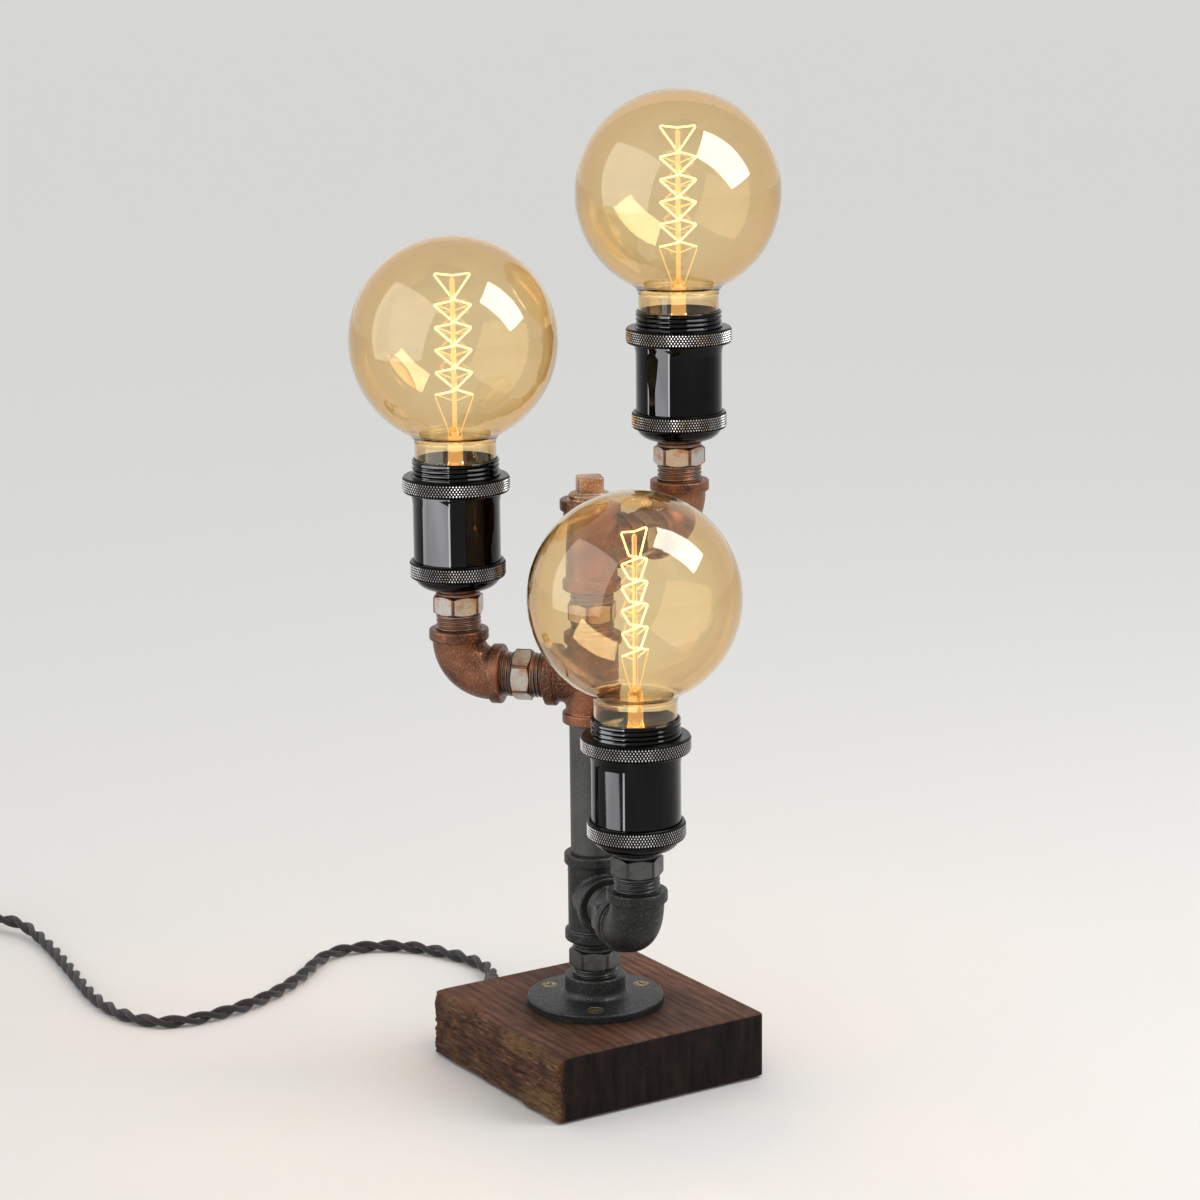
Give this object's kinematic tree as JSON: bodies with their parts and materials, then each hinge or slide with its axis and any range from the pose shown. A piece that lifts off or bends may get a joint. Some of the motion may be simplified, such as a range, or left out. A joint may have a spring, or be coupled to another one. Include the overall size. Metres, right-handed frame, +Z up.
{
  "type": "industrial pipe table lamp",
  "caption": "Table lamp of half-inch pipe fittings on a wooden block, with swivelling arms that carry upright globe bulbs.",
  "frame": {"origin": "middle of the block's underside, on the surface that the lamp stands on", "axes": "+Z up along the stem; the block's sides are parallel to X and Y; the cord leaves through the +Y side"},
  "size_m": [0.3906, 0.5167, 0.4529],
  "materials": {
    "walnut": "oiled, rough live edge on one side",
    "felt": "matte",
    "black_iron": "satin black, fine cast grain",
    "copper_iron": "copper-brown, speckled",
    "black_chrome": "gunmetal gloss, knurled rings",
    "brass": "satin",
    "lamp_cap_brass": "rolled, bright",
    "porcelain": "glazed",
    "amber_glass": "clear, amber tint",
    "clear_glass": "clear",
    "glowing_wire": "glowing",
    "wire_insulation": "matte",
    "terminal_plastic": "moulded",
    "black_textile": "braided cloth",
    "black_rubber": "matte",
    "black_plastic": "fine grain",
    "rocker_plastic": "gloss",
    "nickel": "nickel plated"
  },
  "bodies": {
    "base": {"wood_base": "walnut", "base_pad": "felt", "floor_flange": "black_iron", "flange_screws": "brass", "base_nipple": "black_iron", "terminal_block": "terminal_plastic", "supply_wires": "wire_insulation", "cord_gland": "black_rubber", "cord": "black_textile", "cord_coil": "black_textile", "switch_base": "black_plastic", "switch_cover": "black_plastic", "plug_body": "black_plastic", "plug_pins": "nickel"},
    "lower_arm": {"lower_tee": "black_iron", "riser_pipe": "black_iron", "lower_nipples": "black_iron", "lower_elbow": "black_iron", "lower_holder_cap": "black_chrome", "lower_clamp_ring": "black_chrome", "lower_holder_shell": "black_chrome", "lower_socket_insert": "porcelain", "lower_socket_contacts": "brass", "lower_wires": "wire_insulation"},
    "middle_arm": {"middle_tee": "copper_iron", "link_nipple": "copper_iron", "middle_nipples": "copper_iron", "middle_elbow": "copper_iron", "middle_holder_cap": "black_chrome", "middle_clamp_ring": "black_chrome", "middle_holder_shell": "black_chrome", "middle_socket_insert": "porcelain", "middle_socket_contacts": "brass", "middle_wires": "wire_insulation"},
    "upper_arm": {"upper_tee": "copper_iron", "top_plug": "copper_iron", "upper_nipples": "copper_iron", "upper_elbow": "copper_iron", "upper_holder_cap": "black_chrome", "upper_clamp_ring": "black_chrome", "upper_holder_shell": "black_chrome", "upper_socket_insert": "porcelain", "upper_socket_contacts": "brass", "upper_wires": "wire_insulation"},
    "rocker": {"switch_rocker": "rocker_plastic"},
    "lower_bulb": {"lower_bulb_glass": "amber_glass", "lower_bulb_cap": "lamp_cap_brass", "lower_bulb_mount": "clear_glass", "lower_bulb_filament": "glowing_wire"},
    "lower_ring": {"lower_shade_ring": "black_chrome"},
    "middle_bulb": {"middle_bulb_glass": "amber_glass", "middle_bulb_cap": "lamp_cap_brass", "middle_bulb_mount": "clear_glass", "middle_bulb_filament": "glowing_wire"},
    "middle_ring": {"middle_shade_ring": "black_chrome"},
    "upper_bulb": {"upper_bulb_glass": "amber_glass", "upper_bulb_cap": "lamp_cap_brass", "upper_bulb_mount": "clear_glass", "upper_bulb_filament": "glowing_wire"},
    "upper_ring": {"upper_shade_ring": "black_chrome"}
  },
  "joints": [
    {"name": "stem_swivel", "type": "hinge", "parent": "base", "child": "lower_arm", "pos_m": [0, 0, 0.0632], "axis": [0, 0, 1], "range_deg": [-60, 60]},
    {"name": "middle_arm_swivel", "type": "hinge", "parent": "lower_arm", "child": "middle_arm", "pos_m": [0, 0, 0.1674], "axis": [0, 0, 1], "range_deg": [-20, 40]},
    {"name": "upper_arm_swivel", "type": "hinge", "parent": "middle_arm", "child": "upper_arm", "pos_m": [0, 0, 0.2299], "axis": [0, 0, 1], "range_deg": [-20, 40]},
    {"name": "lower_bulb_removal", "type": "slide", "parent": "lower_arm", "child": "lower_bulb", "axis": [0, 0, 1], "range_m": [0, 0.045]},
    {"name": "lower_shade_ring_turn", "type": "hinge", "parent": "lower_arm", "child": "lower_ring", "pos_m": [-0.01512, -0.06064, 0.17315], "axis": [0, 0, 1], "continuous": true},
    {"name": "middle_bulb_removal", "type": "slide", "parent": "middle_arm", "child": "middle_bulb", "axis": [0, 0, 1], "range_m": [0, 0.045]},
    {"name": "middle_shade_ring_turn", "type": "hinge", "parent": "middle_arm", "child": "middle_ring", "pos_m": [-0.04496, 0.04342, 0.27735], "axis": [0, 0, 1], "continuous": true},
    {"name": "upper_bulb_removal", "type": "slide", "parent": "upper_arm", "child": "upper_bulb", "axis": [0, 0, 1], "range_m": [0, 0.045]},
    {"name": "upper_shade_ring_turn", "type": "hinge", "parent": "upper_arm", "child": "upper_ring", "pos_m": [0.06008, 0.01723, 0.33985], "axis": [0, 0, 1], "continuous": true},
    {"name": "switch_rock", "type": "hinge", "parent": "base", "child": "rocker", "pos_m": [-0.1845, 0.3785, 0.018], "axis": [0.685, 0.7285, 0], "range_deg": [-20, 0]}
  ]
}
